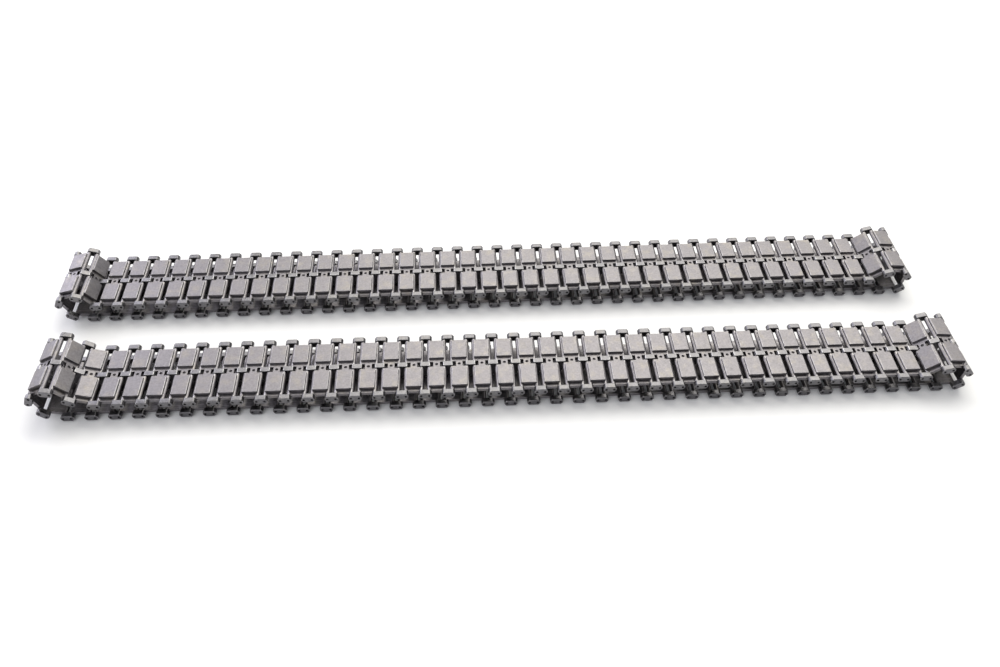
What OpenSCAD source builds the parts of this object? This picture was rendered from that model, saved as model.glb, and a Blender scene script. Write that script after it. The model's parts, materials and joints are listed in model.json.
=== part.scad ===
// A pair of double-pin steel tank tracks, each a closed loop of 83 shoes.
// Each loop is folded flat: its top run lies on its floor run, and the
// ends stand up as round bends. X runs along the tracks, Y across, Z up.

/* [Track] */
// spacing of the shoes along the track
pitch = 11.5; // [9:0.1:15]
// width over the end connectors
track_w = 40; // [30:0.5:55]
// distance between the two pins of one connector
pin_gap = 4; // [3.6:0.1:5]
// diameter of a pin
pin_d = 1.3; // [1:0.05:1.6]
// radial clearance of a shoe on its pin
run_gap = 0.05; // [0.02:0.01:0.1]
// height of the top run's pins over the floor run's pins
run_h = 8; // [7.8:0.1:12]

/* [Shoe] */
// outside diameter of the tubes round the pins
tube_d = 2.5; // [2.2:0.1:3]
// length of a pad along the track
pad_len = 7.9; // [6:0.1:8.4]
// outer face of a pad below the pins
pad_drop = 2.35; // [2:0.05:4]
// inner edge of a pad from the centre line
pad_in = 3.4; // [3:0.1:6]
// outer edge of a pad from the centre line
pad_out = 15.1; // [10:0.1:16]
// bevel round a pad
pad_bevel = 0.35; // [0.1:0.05:0.6]
// half thickness of the web between the tubes
web_h = 1.1; // [0.8:0.05:1.2]
// diameter of the hole in the middle of the web
dimple_d = 1.6; // [1:0.1:2]

/* [Connectors] */
// thickness of an end connector
end_w = 2.95; // [2:0.05:4]
// length of an end connector
end_len = 6.6; // [6:0.1:7.5]
// height of an end connector
end_h = 3.6; // [3:0.1:4]
// thickness of a centre connector with its guide horn
guide_w = 2.9; // [2:0.1:3]
// length of a centre connector
guide_len = 6.2; // [6:0.1:6.6]
// tip of a guide horn above the pins
horn_h = 6.1; // [4:0.1:6.2]
// depth of a pin's end in its connector
pin_sink = 0.5; // [0.1:0.1:1]

/* [Loops] */
// shoes lying flat in each floor run
floor_n = 39; // [20:1:60]
// turn of the last connector of each floor run
end_tilt = 36; // [0:1:45]
// distance between the centre lines of the loops at mid length
loop_gap = 70.7; // [50:0.1:200]
// turn of the far loop out of parallel
far_turn = 0.34; // [0:0.01:1]
// start of the far loop behind the near one
far_back = 4.9; // [0:0.1:20]

/* [Hidden] */
$fn = 48;
span = pitch - pin_gap;
pin_r = pin_d / 2;
slip_r = pin_r + run_gap;
tube_r = tube_d / 2;
half_w = track_w / 2;
side_w = half_w - end_w - 0.1;
core_w = guide_w / 2 + 0.15;
mid_x = 215.067;
mid_y = 0.68;

// directions of the shoes round the bends, in degrees
near_left = [162.5, 132.3, 206.4, 290.1897, 345.2108];
far_left = [126.4, 194.7, 294.23, 354.7044];
right = [82.69, 174.5877, 217.1425];
near_top_n = 36;
far_top_n = 37;
near_top_x = 14.9;
far_top_x = 3.4;

function dir(t) = [cos(t), sin(t)];

// directions of the connectors: each halves the turn between its shoes
function between(s, first, last) =
    [for (i = [0:len(s)])
        i == 0 ? first : i == len(s) ? last : (s[i - 1] + s[i]) / 2];

// centres of the connectors along a bend
function centres(start, s, c) =
    [for (i = 0, q = start; i <= len(s);
          q = i < len(s)
              ? q + pin_gap / 2 * (dir(c[i]) + dir(c[i + 1])) + span * dir(s[i])
              : q,
          i = i + 1) q];

near_c = between(near_left, 180, 360);
near_p = centres([near_top_x, run_h], near_left, near_c);
far_c = between(far_left, 180, 360);
far_p = centres([far_top_x, run_h], far_left, far_c);
right_c = between(right, end_tilt, 180);
right_start = [floor_n * pitch - pin_gap / 2, 0] + pin_gap / 2 * dir(end_tilt);
right_p = centres(right_start, right, right_c);

// ---- placing ----

module near_loop()
    translate([-mid_x, -loop_gap / 2 - mid_y, pad_drop])
        children();

module far_loop()
    translate([0, loop_gap / 2 - mid_y, pad_drop])
        rotate([0, 0, far_turn])
            translate([-mid_x - far_back, 0, 0])
                children();

// at a point of the side view, turned to a direction
module at(p, t)
    translate([p[0], 0, p[1]])
        rotate([0, -t, 0])
            children();

// a side-view outline made w wide about the centre line
module slab(w)
    translate([0, w / 2, 0])
        rotate([90, 0, 0])
            linear_extrude(w)
                children();

module bar(r, w)
    translate([0, w / 2, 0])
        rotate([90, 0, 0])
            cylinder(r = r, h = w);

// ---- one of each piece, pins level, pads down ----

module shoe() {
    w = 2 * side_w;
    difference() {
        union() {
            for (x = [-1, 1])
                translate([x * span / 2, 0, 0])
                    bar(tube_r, w);
            slab(w)
                square([span, 2 * web_h], center = true);
            for (y = [-1, 1])
                translate([0, y * (pad_in + pad_out) / 2, 0])
                    slab(pad_out - pad_in)
                        pad_outline();
        }
        for (x = [-1, 1]) {
            translate([x * span / 2, 0, 0])
                bar(slip_r, w + 2);
            translate([x * (span / 2 + 0.45), 0, 0])
                cube([5, 2 * core_w, 4], center = true);
        }
        translate([0, 0, -web_h - 1])
            cylinder(d = dimple_d, h = 1.9);
    }
}

module pad_outline() {
    h = pad_len / 2;
    polygon([
        [-h, -web_h + 0.2], [-h, -pad_drop + pad_bevel],
        [-h + pad_bevel, -pad_drop], [h - pad_bevel, -pad_drop],
        [h, -pad_drop + pad_bevel], [h, -web_h + 0.2]
    ]);
}

module end_outline() {
    h = end_len / 2;
    polygon([
        [-h + 0.9, -end_h / 2], [h - 0.9, -end_h / 2],
        [h, -0.55], [h, 0.55],
        [h - 0.9, end_h / 2], [-h + 0.9, end_h / 2],
        [-h, 0.55], [-h, -0.55]
    ]);
}

// connectors grip their pins, but the joining pin slips in at the open pivot
module bores(w, open)
    for (x = [-1, 1])
        translate([x * pin_gap / 2, 0, 0])
            bar(open && x > 0 ? slip_r : pin_r, w + 2);

module end_connector(open = false)
    difference() {
        slab(end_w)
            end_outline();
        bores(end_w, open);
    }

module both_ends(open = false)
    for (y = [-1, 1])
        translate([0, y * (half_w - end_w / 2), 0])
            end_connector(open);

module guide(open = false) {
    h = guide_len / 2;
    difference() {
        slab(guide_w)
            polygon([
                [-h + 0.8, -1.75], [h - 0.8, -1.75],
                [h, -0.5], [h, 0.6],
                [0.45, horn_h], [-0.45, horn_h],
                [-h, 0.6], [-h, -0.5]
            ]);
        bores(guide_w, open);
    }
}

module pins()
    for (x = [-1, 1])
        translate([x * pin_gap / 2, 0, 0])
            bar(pin_r, track_w - 2 * pin_sink);

// the open pivot has only its near pin: the joining pin goes in the other bore
module one_pin()
    translate([-pin_gap / 2, 0, 0])
        bar(pin_r, track_w - 2 * pin_sink);

// ---- runs ----

module floor_row()
    for (i = [0:floor_n - 1])
        translate([i * pitch, 0, 0])
            children();

module floor_last()
    at(right_start, end_tilt)
        children();

module top_row(x, n)
    for (i = [0:n - 1])
        at([x + i * pitch, run_h], 180)
            children();

module bend_shoe(s, c, p, i)
    at(p[i] + pin_gap / 2 * dir(c[i]) + span / 2 * dir(s[i]), s[i])
        color([0.66, 0.66, 0.68])
            shoe();

// ---- sub-parts ----

module floor_run_shoes()
    color([0.6, 0.6, 0.62]) {
        near_loop()
            translate([pitch / 2, 0, 0])
                floor_row()
                    shoe();
        far_loop()
            translate([pitch / 2, 0, 0])
                floor_row()
                    shoe();
    }

module floor_run_end_connectors()
    color([0.68, 0.68, 0.7]) {
        near_loop() {
            floor_row()
                both_ends();
            floor_last()
                both_ends(true);
        }
        far_loop() {
            floor_row()
                both_ends();
            floor_last()
                both_ends(true);
        }
    }

module floor_run_guides()
    color([0.55, 0.55, 0.58]) {
        near_loop() {
            floor_row()
                guide();
            floor_last()
                guide(true);
        }
        far_loop() {
            floor_row()
                guide();
            floor_last()
                guide(true);
        }
    }

module floor_run_pins()
    color([0.4, 0.4, 0.42]) {
        near_loop() {
            floor_row()
                pins();
            floor_last()
                one_pin();
        }
        far_loop() {
            floor_row()
                pins();
            floor_last()
                one_pin();
        }
    }

module near_top_shoes()
    color([0.7, 0.7, 0.71])
        near_loop()
            top_row(near_top_x + pitch / 2, near_top_n)
                shoe();

module near_top_end_connectors()
    color([0.75, 0.75, 0.76])
        near_loop()
            top_row(near_top_x, near_top_n + 1)
                both_ends();

module near_top_guides()
    color([0.6, 0.6, 0.62])
        near_loop()
            top_row(near_top_x, near_top_n + 1)
                guide();

module near_top_pins()
    color([0.4, 0.4, 0.42])
        near_loop()
            top_row(near_top_x, near_top_n + 1)
                pins();

module far_top_shoes()
    color([0.7, 0.7, 0.71])
        far_loop()
            top_row(far_top_x + pitch / 2, far_top_n)
                shoe();

module far_top_end_connectors()
    color([0.75, 0.75, 0.76])
        far_loop()
            top_row(far_top_x, far_top_n + 1)
                both_ends();

module far_top_guides()
    color([0.6, 0.6, 0.62])
        far_loop()
            top_row(far_top_x, far_top_n + 1)
                guide();

module far_top_pins()
    color([0.4, 0.4, 0.42])
        far_loop()
            top_row(far_top_x, far_top_n + 1)
                pins();

// bend pieces are numbered from the run that they hang on: the left ones
// from the floor run upwards, the right ones from the top run outwards
module near_left_shoe(k)
    near_loop()
        bend_shoe(near_left, near_c, near_p, 5 - k);

module far_left_shoe(k)
    far_loop()
        bend_shoe(far_left, far_c, far_p, 4 - k);

module near_left_at(k)
    near_loop()
        at(near_p[5 - k], near_c[5 - k])
            children();

module far_left_at(k)
    far_loop()
        at(far_p[4 - k], far_c[4 - k])
            children();

module right_at(k)
    at(right_p[3 - k], right_c[3 - k])
        children();

// ---- bend sub-parts ----

module near_left_shoe_1()
    near_left_shoe(1);

module near_left_shoe_2()
    near_left_shoe(2);

module near_left_shoe_3()
    near_left_shoe(3);

module near_left_shoe_4()
    near_left_shoe(4);

module near_left_shoe_5()
    near_left_shoe(5);

module near_left_ends_1()
    color([0.75, 0.75, 0.76])
        near_left_at(1)
            both_ends();

module near_left_ends_2()
    color([0.75, 0.75, 0.76])
        near_left_at(2)
            both_ends();

module near_left_ends_3()
    color([0.75, 0.75, 0.76])
        near_left_at(3)
            both_ends();

module near_left_ends_4()
    color([0.75, 0.75, 0.76])
        near_left_at(4)
            both_ends();

module near_left_guide_1()
    color([0.6, 0.6, 0.62])
        near_left_at(1)
            guide();

module near_left_guide_2()
    color([0.6, 0.6, 0.62])
        near_left_at(2)
            guide();

module near_left_guide_3()
    color([0.6, 0.6, 0.62])
        near_left_at(3)
            guide();

module near_left_guide_4()
    color([0.6, 0.6, 0.62])
        near_left_at(4)
            guide();

module near_left_pins_1()
    color([0.4, 0.4, 0.42])
        near_left_at(1)
            pins();

module near_left_pins_2()
    color([0.4, 0.4, 0.42])
        near_left_at(2)
            pins();

module near_left_pins_3()
    color([0.4, 0.4, 0.42])
        near_left_at(3)
            pins();

module near_left_pins_4()
    color([0.4, 0.4, 0.42])
        near_left_at(4)
            pins();

module near_right_shoe_1()
    near_loop()
        bend_shoe(right, right_c, right_p, 3 - 1);

module near_right_shoe_2()
    near_loop()
        bend_shoe(right, right_c, right_p, 3 - 2);

module near_right_shoe_3()
    near_loop()
        bend_shoe(right, right_c, right_p, 3 - 3);

module near_right_ends_1()
    color([0.75, 0.75, 0.76])
        near_loop()
            right_at(1)
                both_ends();

module near_right_ends_2()
    color([0.75, 0.75, 0.76])
        near_loop()
            right_at(2)
                both_ends();

module near_right_guide_1()
    color([0.6, 0.6, 0.62])
        near_loop()
            right_at(1)
                guide();

module near_right_guide_2()
    color([0.6, 0.6, 0.62])
        near_loop()
            right_at(2)
                guide();

module near_right_pins_1()
    color([0.4, 0.4, 0.42])
        near_loop()
            right_at(1)
                pins();

module near_right_pins_2()
    color([0.4, 0.4, 0.42])
        near_loop()
            right_at(2)
                pins();

module far_left_shoe_1()
    far_left_shoe(1);

module far_left_shoe_2()
    far_left_shoe(2);

module far_left_shoe_3()
    far_left_shoe(3);

module far_left_shoe_4()
    far_left_shoe(4);

module far_left_ends_1()
    color([0.75, 0.75, 0.76])
        far_left_at(1)
            both_ends();

module far_left_ends_2()
    color([0.75, 0.75, 0.76])
        far_left_at(2)
            both_ends();

module far_left_ends_3()
    color([0.75, 0.75, 0.76])
        far_left_at(3)
            both_ends();

module far_left_guide_1()
    color([0.6, 0.6, 0.62])
        far_left_at(1)
            guide();

module far_left_guide_2()
    color([0.6, 0.6, 0.62])
        far_left_at(2)
            guide();

module far_left_guide_3()
    color([0.6, 0.6, 0.62])
        far_left_at(3)
            guide();

module far_left_pins_1()
    color([0.4, 0.4, 0.42])
        far_left_at(1)
            pins();

module far_left_pins_2()
    color([0.4, 0.4, 0.42])
        far_left_at(2)
            pins();

module far_left_pins_3()
    color([0.4, 0.4, 0.42])
        far_left_at(3)
            pins();

module far_right_shoe_1()
    far_loop()
        bend_shoe(right, right_c, right_p, 3 - 1);

module far_right_shoe_2()
    far_loop()
        bend_shoe(right, right_c, right_p, 3 - 2);

module far_right_shoe_3()
    far_loop()
        bend_shoe(right, right_c, right_p, 3 - 3);

module far_right_ends_1()
    color([0.75, 0.75, 0.76])
        far_loop()
            right_at(1)
                both_ends();

module far_right_ends_2()
    color([0.75, 0.75, 0.76])
        far_loop()
            right_at(2)
                both_ends();

module far_right_guide_1()
    color([0.6, 0.6, 0.62])
        far_loop()
            right_at(1)
                guide();

module far_right_guide_2()
    color([0.6, 0.6, 0.62])
        far_loop()
            right_at(2)
                guide();

module far_right_pins_1()
    color([0.4, 0.4, 0.42])
        far_loop()
            right_at(1)
                pins();

module far_right_pins_2()
    color([0.4, 0.4, 0.42])
        far_loop()
            right_at(2)
                pins();

// ---- output ----

floor_run_shoes();
floor_run_end_connectors();
floor_run_guides();
floor_run_pins();
near_top_shoes();
near_top_end_connectors();
near_top_guides();
near_top_pins();
far_top_shoes();
far_top_end_connectors();
far_top_guides();
far_top_pins();
near_left_shoe_1();
near_left_shoe_2();
near_left_shoe_3();
near_left_shoe_4();
near_left_shoe_5();
near_left_ends_1();
near_left_ends_2();
near_left_ends_3();
near_left_ends_4();
near_left_guide_1();
near_left_guide_2();
near_left_guide_3();
near_left_guide_4();
near_left_pins_1();
near_left_pins_2();
near_left_pins_3();
near_left_pins_4();
near_right_shoe_1();
near_right_shoe_2();
near_right_shoe_3();
near_right_ends_1();
near_right_ends_2();
near_right_guide_1();
near_right_guide_2();
near_right_pins_1();
near_right_pins_2();
far_left_shoe_1();
far_left_shoe_2();
far_left_shoe_3();
far_left_shoe_4();
far_left_ends_1();
far_left_ends_2();
far_left_ends_3();
far_left_guide_1();
far_left_guide_2();
far_left_guide_3();
far_left_pins_1();
far_left_pins_2();
far_left_pins_3();
far_right_shoe_1();
far_right_shoe_2();
far_right_shoe_3();
far_right_ends_1();
far_right_ends_2();
far_right_guide_1();
far_right_guide_2();
far_right_pins_1();
far_right_pins_2();
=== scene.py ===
"""Looks of a pair of double-pin steel tank tracks, folded flat on a pale floor.

Every link piece is built once, in millimetres, with its pins level and its pads
down, and is then copied to each place that the frame's hinges and mounts give.
"""

import json
import math

import bmesh
import bpy
import numpy as np
from mathutils import Matrix, Vector


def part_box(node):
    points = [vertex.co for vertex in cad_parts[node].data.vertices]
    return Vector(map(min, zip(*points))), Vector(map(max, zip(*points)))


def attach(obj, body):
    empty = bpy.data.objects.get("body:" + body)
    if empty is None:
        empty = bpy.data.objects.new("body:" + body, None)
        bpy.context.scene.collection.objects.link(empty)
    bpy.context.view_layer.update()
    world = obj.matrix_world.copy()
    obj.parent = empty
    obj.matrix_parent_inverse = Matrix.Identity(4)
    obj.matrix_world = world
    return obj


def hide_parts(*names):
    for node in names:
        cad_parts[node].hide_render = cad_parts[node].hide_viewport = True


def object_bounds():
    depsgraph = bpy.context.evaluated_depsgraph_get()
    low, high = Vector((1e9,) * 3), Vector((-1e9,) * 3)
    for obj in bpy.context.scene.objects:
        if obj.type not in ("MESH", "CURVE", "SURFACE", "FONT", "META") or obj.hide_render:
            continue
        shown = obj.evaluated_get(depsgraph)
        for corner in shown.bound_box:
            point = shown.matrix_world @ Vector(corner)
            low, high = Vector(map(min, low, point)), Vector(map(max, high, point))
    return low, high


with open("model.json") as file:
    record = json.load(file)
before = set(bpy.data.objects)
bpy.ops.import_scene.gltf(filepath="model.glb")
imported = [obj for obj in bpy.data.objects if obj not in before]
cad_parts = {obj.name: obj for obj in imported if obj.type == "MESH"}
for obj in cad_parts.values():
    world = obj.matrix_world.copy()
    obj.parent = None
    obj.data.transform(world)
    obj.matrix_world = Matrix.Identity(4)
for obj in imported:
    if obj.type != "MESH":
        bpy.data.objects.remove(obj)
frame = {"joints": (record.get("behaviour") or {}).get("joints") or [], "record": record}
cad_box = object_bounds()

MM = 0.001

# driving sizes of a link, in millimetres, as in the CAD
PIN_GAP = 4.0
PIN_R = 0.65
BORE_R = 0.7
TUBE_R = 1.25
SPAN = 7.5
TRACK_W = 40.0
END_W = 2.95
END_LEN = 6.6
END_H = 3.6
GUIDE_W = 2.9
GUIDE_LEN = 6.2
GUIDE_H = 3.5
HORN_H = 6.1
SIDE_W = TRACK_W / 2 - END_W - 0.1
CORE_W = GUIDE_W / 2 + 0.15
WEB_H = 1.1
PAD_LEN = 7.9
PAD_DROP = 2.35
PAD_EDGE = 0.35
PAD_IN = 3.4
PAD_OUT = 15.1
PIN_SINK = 0.5

# the photographed view, in degrees and metres
VIEW_AZIMUTH = 3.59
VIEW_ELEVATION = 46.11
VIEW_ROLL = 0.775
VIEW_DISTANCE = 0.4893
VIEW_TARGET = (0.0006, -0.0049, 0.0)
VIEW_LENS = 32.45


# ---- small mesh tools ----

def new_object(name, mesh):
    obj = bpy.data.objects.new(name, mesh)
    bpy.context.scene.collection.objects.link(obj)
    return obj


def object_from(bm, name):
    bmesh.ops.recalc_face_normals(bm, faces=bm.faces)
    mesh = bpy.data.meshes.new(name)
    bm.to_mesh(mesh)
    bm.free()
    return new_object(name, mesh)


def prism(outline, y0, y1, bevel=0.0, steps=2):
    """A side-view outline of (x, z) points, from y0 to y1, its edges rounded."""
    bm = bmesh.new()
    front = [bm.verts.new((x, y0, z)) for x, z in outline]
    back = [bm.verts.new((x, y1, z)) for x, z in outline]
    bm.faces.new(front)
    bm.faces.new(list(reversed(back)))
    for i in range(len(outline)):
        j = (i + 1) % len(outline)
        bm.faces.new((front[j], front[i], back[i], back[j]))
    if bevel:
        bmesh.ops.bevel(
            bm, geom=bm.edges[:], offset=bevel, segments=steps,
            profile=0.5, affect="EDGES", clamp_overlap=True,
        )
    return object_from(bm, "part")


def rod(x, z, r, y0, y1, sides=24, bevel=0.0):
    """A round bar along Y."""
    outline = [
        (
            x + r * math.cos(2 * math.pi * i / sides),
            z + r * math.sin(2 * math.pi * i / sides),
        )
        for i in range(sides)
    ]
    if not bevel:
        return prism(outline, y0, y1)
    bm = bmesh.new()
    rings = [(y0, r - bevel), (y0 + bevel, r), (y1 - bevel, r), (y1, r - bevel)]
    rows = [
        [
            bm.verts.new((
                x + q * math.cos(2 * math.pi * i / sides), y,
                z + q * math.sin(2 * math.pi * i / sides),
            ))
            for i in range(sides)
        ]
        for y, q in rings
    ]
    bm.faces.new(rows[0])
    bm.faces.new(list(reversed(rows[-1])))
    for low, high in zip(rows, rows[1:]):
        for i in range(sides):
            j = (i + 1) % sides
            bm.faces.new((low[j], low[i], high[i], high[j]))
    return object_from(bm, "part")


def post(r, z0, z1, sides=20):
    """A round bar along Z on the middle of the piece."""
    bm = bmesh.new()
    bmesh.ops.create_cone(
        bm, cap_ends=True, segments=sides, radius1=r, radius2=r, depth=z1 - z0,
        matrix=Matrix.Translation((0, 0, (z0 + z1) / 2)),
    )
    return object_from(bm, "part")


def combine(base, others, how):
    for other in others:
        step = base.modifiers.new(how, "BOOLEAN")
        step.operation = how
        step.solver = "EXACT"
        step.object = other
        shape = base.evaluated_get(bpy.context.evaluated_depsgraph_get())
        mesh = bpy.data.meshes.new_from_object(shape)
        base.modifiers.clear()
        old = base.data
        base.data = mesh
        bpy.data.meshes.remove(old)
        used = other.data
        bpy.data.objects.remove(other)
        bpy.data.meshes.remove(used)
    return base


def soften(obj, width):
    """Breaks the sharp edges of a finished casting."""
    step = obj.modifiers.new("edges", "BEVEL")
    step.width = width
    step.segments = 1
    step.limit_method = "ANGLE"
    step.angle_limit = math.radians(38)
    step.harden_normals = False
    shape = obj.evaluated_get(bpy.context.evaluated_depsgraph_get())
    mesh = bpy.data.meshes.new_from_object(shape)
    obj.modifiers.clear()
    obj.data = mesh
    return obj


def master(obj):
    """The finished mesh of one link piece, its narrow edge faces marked for a lighter
    colour that is partly wear and partly a painted highlight.
    """
    mesh = obj.data
    wear_and_highlight = mesh.attributes.new("wear_and_highlight", "FLOAT", "FACE")
    for face in mesh.polygons:
        corners = [mesh.vertices[i].co for i in face.vertices]
        longest = max(
            (p - q).length for p, q in zip(corners, corners[1:] + corners[:1]))
        # narrow faces (edges and bevels) get a lighter colour: partly wear, partly a
        # painted highlight
        wear_and_highlight.data[face.index].value = float(face.area / longest < 0.2)
    bpy.data.objects.remove(obj)
    return mesh


# ---- one of each link piece ----

def rounded_end_outline(length, height, nose, flat):
    """An outline with level top and bottom and blunt sloped ends."""
    h = length / 2
    z = height / 2
    return [
        (-h + nose, -z), (h - nose, -z), (h, -flat), (h, flat),
        (h - nose, z), (-h + nose, z), (-h, flat), (-h, -flat),
    ]


def shoe_mesh():
    half = SPAN / 2
    body = rod(-half, 0, TUBE_R, -SIDE_W, SIDE_W, bevel=0.15)
    side = [
        (-half, -WEB_H), (half, -WEB_H), (half, WEB_H), (-half, WEB_H),
    ]
    parts = [
        rod(half, 0, TUBE_R, -SIDE_W, SIDE_W, bevel=0.15),
        prism(side, -PAD_OUT + 0.4, PAD_OUT - 0.4),
    ]
    end = PAD_LEN / 2
    pad = [
        (-end, -PAD_DROP + PAD_EDGE), (-end + PAD_EDGE, -PAD_DROP),
        (end - PAD_EDGE, -PAD_DROP), (end, -PAD_DROP + PAD_EDGE),
        (end, -WEB_H + 0.35), (-end, -WEB_H + 0.35),
    ]
    lug = [
        (-half, -0.55), (half, -0.55), (half, WEB_H), (-half, WEB_H),
    ]
    for s in (-1, 1):
        y = sorted((s * PAD_IN, s * PAD_OUT))
        parts.append(prism(pad, y[0], y[1], bevel=0.1, steps=1))
        y = sorted((s * (PAD_OUT - 0.6), s * SIDE_W))
        parts.append(prism(lug, y[0], y[1]))
    combine(body, parts, "UNION")
    cuts = []
    for s in (-1, 1):
        cuts.append(rod(s * half, 0, BORE_R, -SIDE_W - 1, SIDE_W + 1, sides=16))
        x = sorted((s * 1.7, s * 6.7))
        notch = [(x[0], -2), (x[1], -2), (x[1], 2), (x[0], 2)]
        cuts.append(prism(notch, -CORE_W, CORE_W))
    # the blind hole in the middle of the web
    cuts.append(post(0.8, -WEB_H - 1, -WEB_H + 0.9))
    combine(body, cuts, "DIFFERENCE")
    return master(soften(body, 0.07))


def end_mesh():
    outline = rounded_end_outline(END_LEN, END_H, 0.9, 0.55)
    body = prism(outline, -END_W / 2, END_W / 2, bevel=0.3)
    cuts = [
        rod(s * PIN_GAP / 2, 0, PIN_R, -END_W, END_W, sides=16) for s in (-1, 1)
    ]
    combine(body, cuts, "DIFFERENCE")
    return master(body)


def guide_mesh():
    h = GUIDE_LEN / 2
    z = GUIDE_H / 2
    outline = [
        (-h + 0.8, -z), (h - 0.8, -z), (h, -0.5), (h, 0.6),
        (0.45, HORN_H), (-0.45, HORN_H), (-h, 0.6), (-h, -0.5),
    ]
    body = prism(outline, -GUIDE_W / 2, GUIDE_W / 2, bevel=0.2)
    cuts = [
        rod(s * PIN_GAP / 2, 0, PIN_R, -GUIDE_W, GUIDE_W, sides=16)
        for s in (-1, 1)
    ]
    combine(body, cuts, "DIFFERENCE")
    return master(body)


def pin_mesh():
    half = TRACK_W / 2 - PIN_SINK
    return master(rod(0, 0, PIN_R, -half, half, sides=16, bevel=0.12))


# ---- where the links stand ----

BODY_OF = {
    node: body
    for body, group in frame["record"]["behaviour"]["bodies"].items()
    for node in group
}
HINGES = {joint["name"]: joint for joint in frame["joints"]}
MOUNTS = {mount["name"]: mount for mount in frame["record"]["mounts"]}
PIN_HALF = (TRACK_W / 2 - PIN_SINK) * MM


class Line:
    """The middle plane of one loop, from the axis of its first hinge."""

    def __init__(self, loop):
        first = HINGES[loop + "_left_hinge_1"]
        self.loop = loop
        self.start = Vector(first["pos_m"])
        self.across = -Vector(first["axis"])
        self.ahead = self.across.cross(Vector((0, 0, 1)))
        self.skew = PIN_HALF * abs(self.across.x) + PIN_R * MM

    def point(self, x, z):
        """The point of the middle plane at this x and z."""
        step = (x - self.start.x) / self.ahead.x
        at = self.start + self.ahead * step
        at.z = z
        return at

    def stand(self, first, second):
        """Places a piece with its -X pin on first and its +X pin on second."""
        x = (second - first).normalized()
        z = x.cross(self.across)
        turn = Matrix((x, self.across, z)).transposed().to_4x4()
        return Matrix.Translation((first + second) / 2) @ turn

    def joining_pin(self):
        bore = MOUNTS[self.loop + "_joining_pin_bore"]
        x, y, z = bore["pos_m"]
        out = (Vector((x, y, z)) - self.start).dot(self.across)
        return Vector((x, y, z)) - self.across * out

    def top_end(self, side):
        """The end pin of the flat top run, at its left or right."""
        low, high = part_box(self.loop + "_top_pins")
        z = (low.z + high.z) / 2
        if side == "left":
            return self.point(low.x + self.skew, z)
        return self.point(high.x - self.skew, z)

    def link(self, node, chord):
        """(centre, direction) of a connector set, from the box of its two pins."""
        low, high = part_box(node)
        middle = (low + high) / 2
        long = max(high.x - low.x - 2 * self.skew, 0) / self.ahead.x
        tall = max(high.z - low.z - 2 * PIN_R * MM, 0)
        options = [
            (self.ahead * (long * sx) + Vector((0, 0, tall * sz))).normalized()
            for sx in (-1, 1) for sz in (-1, 1)
        ]
        best = max(options, key=lambda way: way.dot(chord))
        return self.point(middle.x, middle.z), best


def bend_places(line, side):
    """{"shoe_2" or "link_2": matrix} of one bend, its numbers falling along it."""
    stem = line.loop + "_" + side + "_"
    count = len([n for n in BODY_OF if n.startswith(stem + "pins_")])
    if side == "left":
        start, end = line.top_end("left"), line.start
    else:
        start, end = line.joining_pin(), line.top_end("right")
    numbers = list(range(count, 0, -1))
    centres = []
    for k in numbers:
        low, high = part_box(stem + "pins_" + str(k))
        middle = (low + high) / 2
        centres.append(line.point(middle.x, middle.z))
    around = [start] + centres + [end]
    places = {}
    before = start
    for i, k in enumerate(numbers):
        chord = around[i + 2] - around[i]
        centre, way = line.link(stem + "pins_" + str(k), chord)
        half = way * (PIN_GAP / 2 * MM)
        places["shoe_" + str(k + 1)] = line.stand(before, centre - half)
        places["link_" + str(k)] = line.stand(centre - half, centre + half)
        before = centre + half
    places["shoe_1"] = line.stand(before, end)
    return places


def run_places(line, level):
    """(shoe matrices, connector matrices) of one flat run."""
    pitch = (PIN_GAP + SPAN) * MM
    gap = PIN_GAP * MM
    if level == "floor":
        start, end, ahead = line.start, line.joining_pin(), line.ahead
    else:
        start, end, ahead = line.top_end("right"), line.top_end("left"), -line.ahead
    count = int((end - start).dot(ahead) / pitch)
    starts = [start + ahead * (pitch * i) for i in range(count)]
    shoes = [line.stand(p + ahead * gap, p + ahead * pitch) for p in starts]
    sets = [line.stand(p, p + ahead * gap) for p in starts]
    last = start + ahead * (pitch * count)
    sets.append(line.stand(last, last + (end - last).normalized() * gap))
    return shoes, sets


def side_steps(matrices, offsets, axis=1):
    """Each matrix moved sideways, in millimetres, to every offset."""
    out = []
    for matrix in matrices:
        for offset in offsets:
            shift = Vector((0, 0, 0))
            shift[axis] = offset * MM
            out.append(matrix @ Matrix.Translation(shift))
    return out


END_Y = (TRACK_W - END_W) / 2


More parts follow.
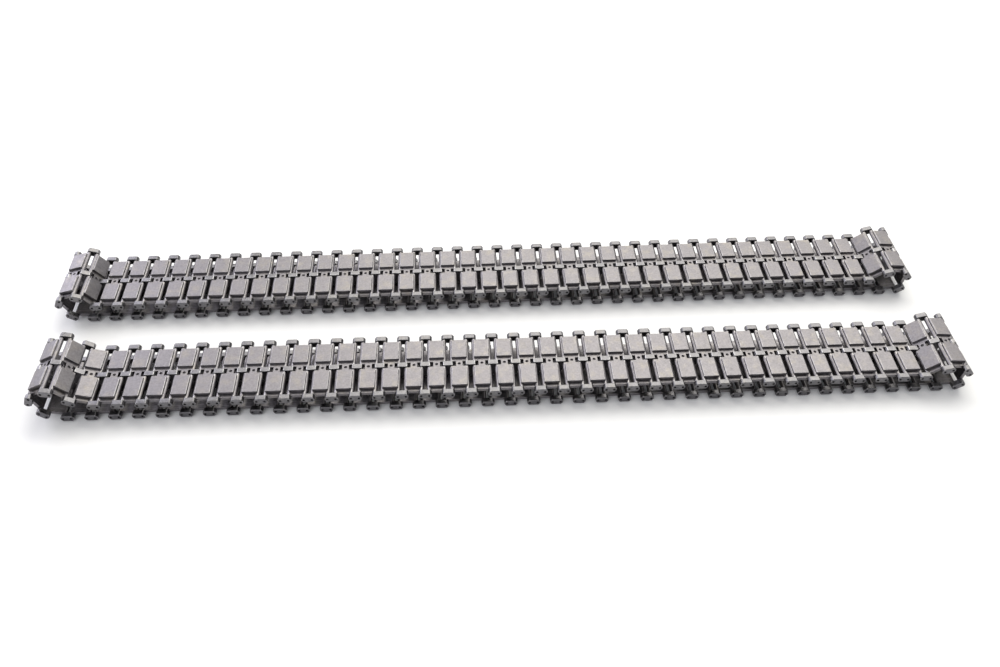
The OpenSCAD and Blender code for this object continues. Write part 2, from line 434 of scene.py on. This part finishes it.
def piece(name, mesh, matrices, body, node, material):
    """One shown piece: copies of a link piece at every matrix."""
    count = len(mesh.vertices)
    points = np.empty(count * 3)
    mesh.vertices.foreach_get("co", points)
    points = points.reshape(-1, 3) * MM
    corners = np.empty(len(mesh.loops), dtype=np.int64)
    mesh.loops.foreach_get("vertex_index", corners)
    sizes = np.empty(len(mesh.polygons), dtype=np.int64)
    mesh.polygons.foreach_get("loop_total", sizes)
    # the narrow-edge mask for the lighter edge colour: partly wear, partly a painted
    # highlight
    wear_and_highlight = np.empty(len(mesh.polygons))
    mesh.attributes["wear_and_highlight"].data.foreach_get("value", wear_and_highlight)
    copies = len(matrices)
    placed = []
    for matrix in matrices:
        m = np.array(matrix)
        placed.append(points @ m[:3, :3].T + m[:3, 3])
    data = bpy.data.meshes.new(name)
    data.vertices.add(count * copies)
    data.vertices.foreach_set("co", np.concatenate(placed).ravel())
    data.loops.add(len(corners) * copies)
    data.loops.foreach_set("vertex_index", np.concatenate(
        [corners + count * i for i in range(copies)]))
    data.polygons.add(len(sizes) * copies)
    totals = np.tile(sizes, copies)
    data.polygons.foreach_set("loop_start", np.cumsum(totals) - totals)
    data.update(calc_edges=True)
    data.polygons.foreach_set("use_smooth", [True] * len(data.polygons))
    data.set_sharp_from_angle(angle=math.radians(50))
    data.attributes.new("wear_and_highlight", "FLOAT", "FACE").data.foreach_set(
        "value", np.tile(wear_and_highlight, copies))
    data.materials.append(material)
    obj = new_object(name, data)
    level = obj.modifiers.new("level faces", "WEIGHTED_NORMAL")
    level.keep_sharp = True
    level.weight = 60
    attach(obj, body)
    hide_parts(node)
    return obj


# ---- materials ----

def cast_metal(name, dark, light, warm, rough, bump, wear_and_highlight_colour):
    """Satin metal: mottled tone, warm stains, fine grain, and narrow edges made lighter,
    partly as wear and partly as a painted highlight.
    """
    mat = bpy.data.materials.new(name)
    mat.use_nodes = True
    nodes = mat.node_tree.nodes
    links = mat.node_tree.links
    shader = nodes["Principled BSDF"]
    place = nodes.new("ShaderNodeTexCoord")

    def noise(scale, detail, fade):
        n = nodes.new("ShaderNodeTexNoise")
        n.inputs["Scale"].default_value = scale
        n.inputs["Detail"].default_value = detail
        n.inputs["Roughness"].default_value = fade
        links.new(place.outputs["Object"], n.inputs["Vector"])
        return n.outputs["Fac"]

    def ramp(source, low, high, a, b):
        r = nodes.new("ShaderNodeValToRGB")
        r.color_ramp.elements[0].position = low
        r.color_ramp.elements[0].color = (*a, 1)
        r.color_ramp.elements[1].position = high
        r.color_ramp.elements[1].color = (*b, 1)
        links.new(source, r.inputs["Fac"])
        return r.outputs["Color"]

    def mix(blend, amount, a, b):
        m = nodes.new("ShaderNodeMix")
        m.data_type = "RGBA"
        m.blend_type = blend
        if isinstance(amount, float):
            m.inputs["Factor"].default_value = amount
        else:
            links.new(amount, m.inputs["Factor"])
        links.new(a, m.inputs["A"])
        if isinstance(b, tuple):
            m.inputs["B"].default_value = (*b, 1)
        else:
            links.new(b, m.inputs["B"])
        return m.outputs["Result"]

    tone = ramp(noise(420, 5, 0.7), 0.36, 0.64, dark, light)
    stained = mix("MIX", ramp(
        noise(150, 5, 0.7), 0.5, 0.72, (0,) * 3, (0.7,) * 3), tone, warm)
    grain = ramp(noise(950, 5, 0.75), 0.36, 0.64, (0.8,) * 3, (1.1,) * 3)
    colour = mix("MULTIPLY", 1.0, stained, grain)
    # narrow edge faces, in noisy patches, are mixed towards a lighter colour: partly wear,
    # partly a painted highlight
    wear_and_highlight = nodes.new("ShaderNodeAttribute")
    wear_and_highlight.attribute_name = "wear_and_highlight"
    wear_and_highlight_amount = nodes.new("ShaderNodeMath")
    wear_and_highlight_amount.operation = "MULTIPLY"
    links.new(wear_and_highlight.outputs["Fac"], wear_and_highlight_amount.inputs[0])
    links.new(ramp(noise(500, 3, 0.6), 0.35, 0.65, (0.15,) * 3, (0.9,) * 3),
              wear_and_highlight_amount.inputs[1])
    colour = mix("MIX", wear_and_highlight_amount.outputs["Value"], colour, wear_and_highlight_colour)
    links.new(colour, shader.inputs["Base Color"])
    shader.inputs["Metallic"].default_value = 1.0
    dull = ramp(noise(420, 3, 0.6), 0.35, 0.7,
                (rough - 0.06,) * 3, (rough + 0.09,) * 3)
    links.new(dull, shader.inputs["Roughness"])
    bumps = nodes.new("ShaderNodeBump")
    bumps.inputs["Strength"].default_value = bump
    bumps.inputs["Distance"].default_value = 0.00008
    links.new(noise(2200, 5, 0.65), bumps.inputs["Height"])
    links.new(bumps.outputs["Normal"], shader.inputs["Normal"])
    return mat


# the last colour of each material is its lighter edge colour: partly wear, partly a
# painted highlight
MATERIALS = {
    "shoe": cast_metal(
        "shoe_casting", (0.172, 0.163, 0.174), (0.216, 0.206, 0.218),
        (0.25, 0.23, 0.206), 0.42, 0.35, (0.42, 0.41, 0.42)),
    "connector": cast_metal(
        "connector_casting", (0.13, 0.127, 0.136), (0.18, 0.176, 0.186),
        (0.185, 0.176, 0.17), 0.33, 0.3, (0.55, 0.545, 0.555)),
    "guide": cast_metal(
        "guide_casting", (0.14, 0.136, 0.146), (0.19, 0.186, 0.196),
        (0.195, 0.186, 0.18), 0.34, 0.3, (0.52, 0.515, 0.525)),
    "pin": cast_metal(
        "pin_steel", (0.018, 0.018, 0.02), (0.035, 0.035, 0.037),
        (0.03, 0.028, 0.026), 0.45, 0.2, (0.05, 0.05, 0.05)),
}


# ---- the tracks ----

SHOE = shoe_mesh()
END = end_mesh()
GUIDE = guide_mesh()
PIN = pin_mesh()
PINS = (-PIN_GAP / 2, PIN_GAP / 2)


def link_set(nodes, sets, pins=None):
    """End connectors, guides and pins of the connector sets at these places."""
    ends, guides, pin_node = nodes
    body = BODY_OF[ends]
    piece(ends + "_cast", END, side_steps(sets, (-END_Y, END_Y)), body, ends,
          MATERIALS["connector"])
    piece(guides + "_cast", GUIDE, sets, body, guides, MATERIALS["guide"])
    places = pins if pins is not None else side_steps(sets, PINS, axis=0)
    piece(pin_node + "_steel", PIN, places, body, pin_node, MATERIALS["pin"])


def shoes(node, places):
    piece(node + "_cast", SHOE, places, BODY_OF[node], node,
          MATERIALS["shoe"])


floor_shoes = []
floor_sets = []
floor_pins = []
for loop in ("near", "far"):
    line = Line(loop)
    shoe_places, set_places = run_places(line, "floor")
    floor_shoes += shoe_places
    floor_sets += set_places
    # the joining pin of the last set is left out
    floor_pins += side_steps(set_places, PINS, axis=0)[:-1]
    shoe_places, set_places = run_places(line, "top")
    top = loop + "_top_"
    shoes(top + "shoes", shoe_places)
    link_set((top + "end_connectors", top + "guides", top + "pins"), set_places)
    for side in ("left", "right"):
        for name, place in bend_places(line, side).items():
            kind, number = name.split("_")
            stem = loop + "_" + side + "_"
            if kind == "shoe":
                shoes(stem + name, [place])
            else:
                link_set(
                    [stem + k + "_" + number for k in ("ends", "guide", "pins")],
                    [place])
shoes("floor_run_shoes", floor_shoes)
link_set(
    ("floor_run_end_connectors", "floor_run_guides", "floor_run_pins"),
    floor_sets, floor_pins)


# ---- floor, light and camera ----

def make_floor():
    low, high = cad_box
    bm = bmesh.new()
    bmesh.ops.create_grid(bm, x_segments=1, y_segments=1, size=6)
    floor = object_from(bm, "floor")
    floor.location.z = low[2]
    mat = bpy.data.materials.new("floor_white")
    mat.use_nodes = True
    shader = mat.node_tree.nodes["Principled BSDF"]
    shader.inputs["Base Color"].default_value = (0.93, 0.93, 0.94, 1)
    shader.inputs["Roughness"].default_value = 0.7
    shader.inputs["Specular IOR Level"].default_value = 0.2
    floor.data.materials.append(mat)


def area_light(name, place, aim, size, power, colour):
    data = bpy.data.lights.new(name, "AREA")
    data.shape = "RECTANGLE"
    data.size, data.size_y = size
    data.energy = power
    data.color = colour
    lamp = bpy.data.objects.new(name, data)
    bpy.context.scene.collection.objects.link(lamp)
    lamp.location = place
    lamp.rotation_euler = (Vector(aim) - Vector(place)).to_track_quat(
        "-Z", "Y").to_euler()


def make_light():
    world = bpy.data.worlds.new("studio")
    bpy.context.scene.world = world
    world.use_nodes = True
    back = world.node_tree.nodes["Background"]
    back.inputs["Color"].default_value = (1.0, 1.0, 1.0, 1)
    back.inputs["Strength"].default_value = 0.5
    area_light(
        "back_softbox", (0.32, 0.8, 1.05), (0, 0, 0), (1.6, 1.0), 19, (1, 0.98, 0.9))
    area_light(
        "left_softbox", (-0.95, 0.78, 0.6), (-0.15, 0, 0), (0.9, 0.9), 9,
        (0.93, 0.92, 1))
    area_light(
        "front_fill", (-0.4, -0.9, 0.8), (0, 0, 0), (0.9, 0.6), 3, (0.94, 0.95, 1))


def make_camera():
    """From the front, high, a little from the left."""
    data = bpy.data.cameras.new("camera")
    camera = bpy.data.objects.new("camera", data)
    bpy.context.scene.collection.objects.link(camera)
    data.sensor_fit = "HORIZONTAL"
    data.sensor_width = 36
    data.lens = VIEW_LENS
    azimuth = math.radians(VIEW_AZIMUTH)
    elevation = math.radians(VIEW_ELEVATION)
    roll = math.radians(VIEW_ROLL)
    target = Vector(VIEW_TARGET)
    look = Vector((
        math.sin(azimuth) * math.cos(elevation),
        math.cos(azimuth) * math.cos(elevation),
        -math.sin(elevation),
    ))
    turn = look.to_track_quat("-Z", "Y").to_matrix().to_4x4()
    camera.matrix_world = (
        Matrix.Translation(target - look * VIEW_DISTANCE) @ turn
        @ Matrix.Rotation(roll, 4, "Z")
    )
    data.clip_start = 0.01
    bpy.context.scene.camera = camera


bpy.context.scene.view_settings.view_transform = "Standard"
make_floor()
make_light()
make_camera()
